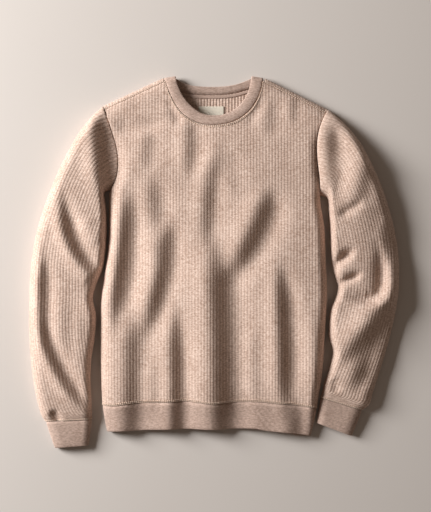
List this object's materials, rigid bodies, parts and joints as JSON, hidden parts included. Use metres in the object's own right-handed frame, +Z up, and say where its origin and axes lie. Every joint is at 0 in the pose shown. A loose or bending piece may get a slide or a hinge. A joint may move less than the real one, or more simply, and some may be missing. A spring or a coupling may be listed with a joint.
{
  "type": "crewneck sweatshirt",
  "caption": "Long-sleeved crewneck sweatshirt in beige ribbed knit with darker rib bands, laid flat face up, its sleeves beside the body.",
  "frame": {"origin": "centre of the bounding box's underside, on the surface the garment lies on", "axes": "+Z up from the surface through the lying garment, +Y from the hem towards the neck, +X towards the wearer's left sleeve, on the right as seen from above"},
  "size_m": [0.7243, 0.7267, 0.0449],
  "materials": {
    "rib_knit": "matte, broad ribs, heathered beige",
    "band_knit": "matte, fine rib, darker taupe",
    "tape": "matte woven tape",
    "label": "matte woven label, plain"
  },
  "bodies": {
    "root": {"front_panel": "rib_knit", "back_panel": "rib_knit", "sleeve_left": "rib_knit", "sleeve_right": "rib_knit", "neckband": "band_knit", "hem_band": "band_knit", "cuff_left": "band_knit", "cuff_right": "band_knit", "back_neck_tape": "tape", "neck_label": "label"}
  },
  "joints": []
}
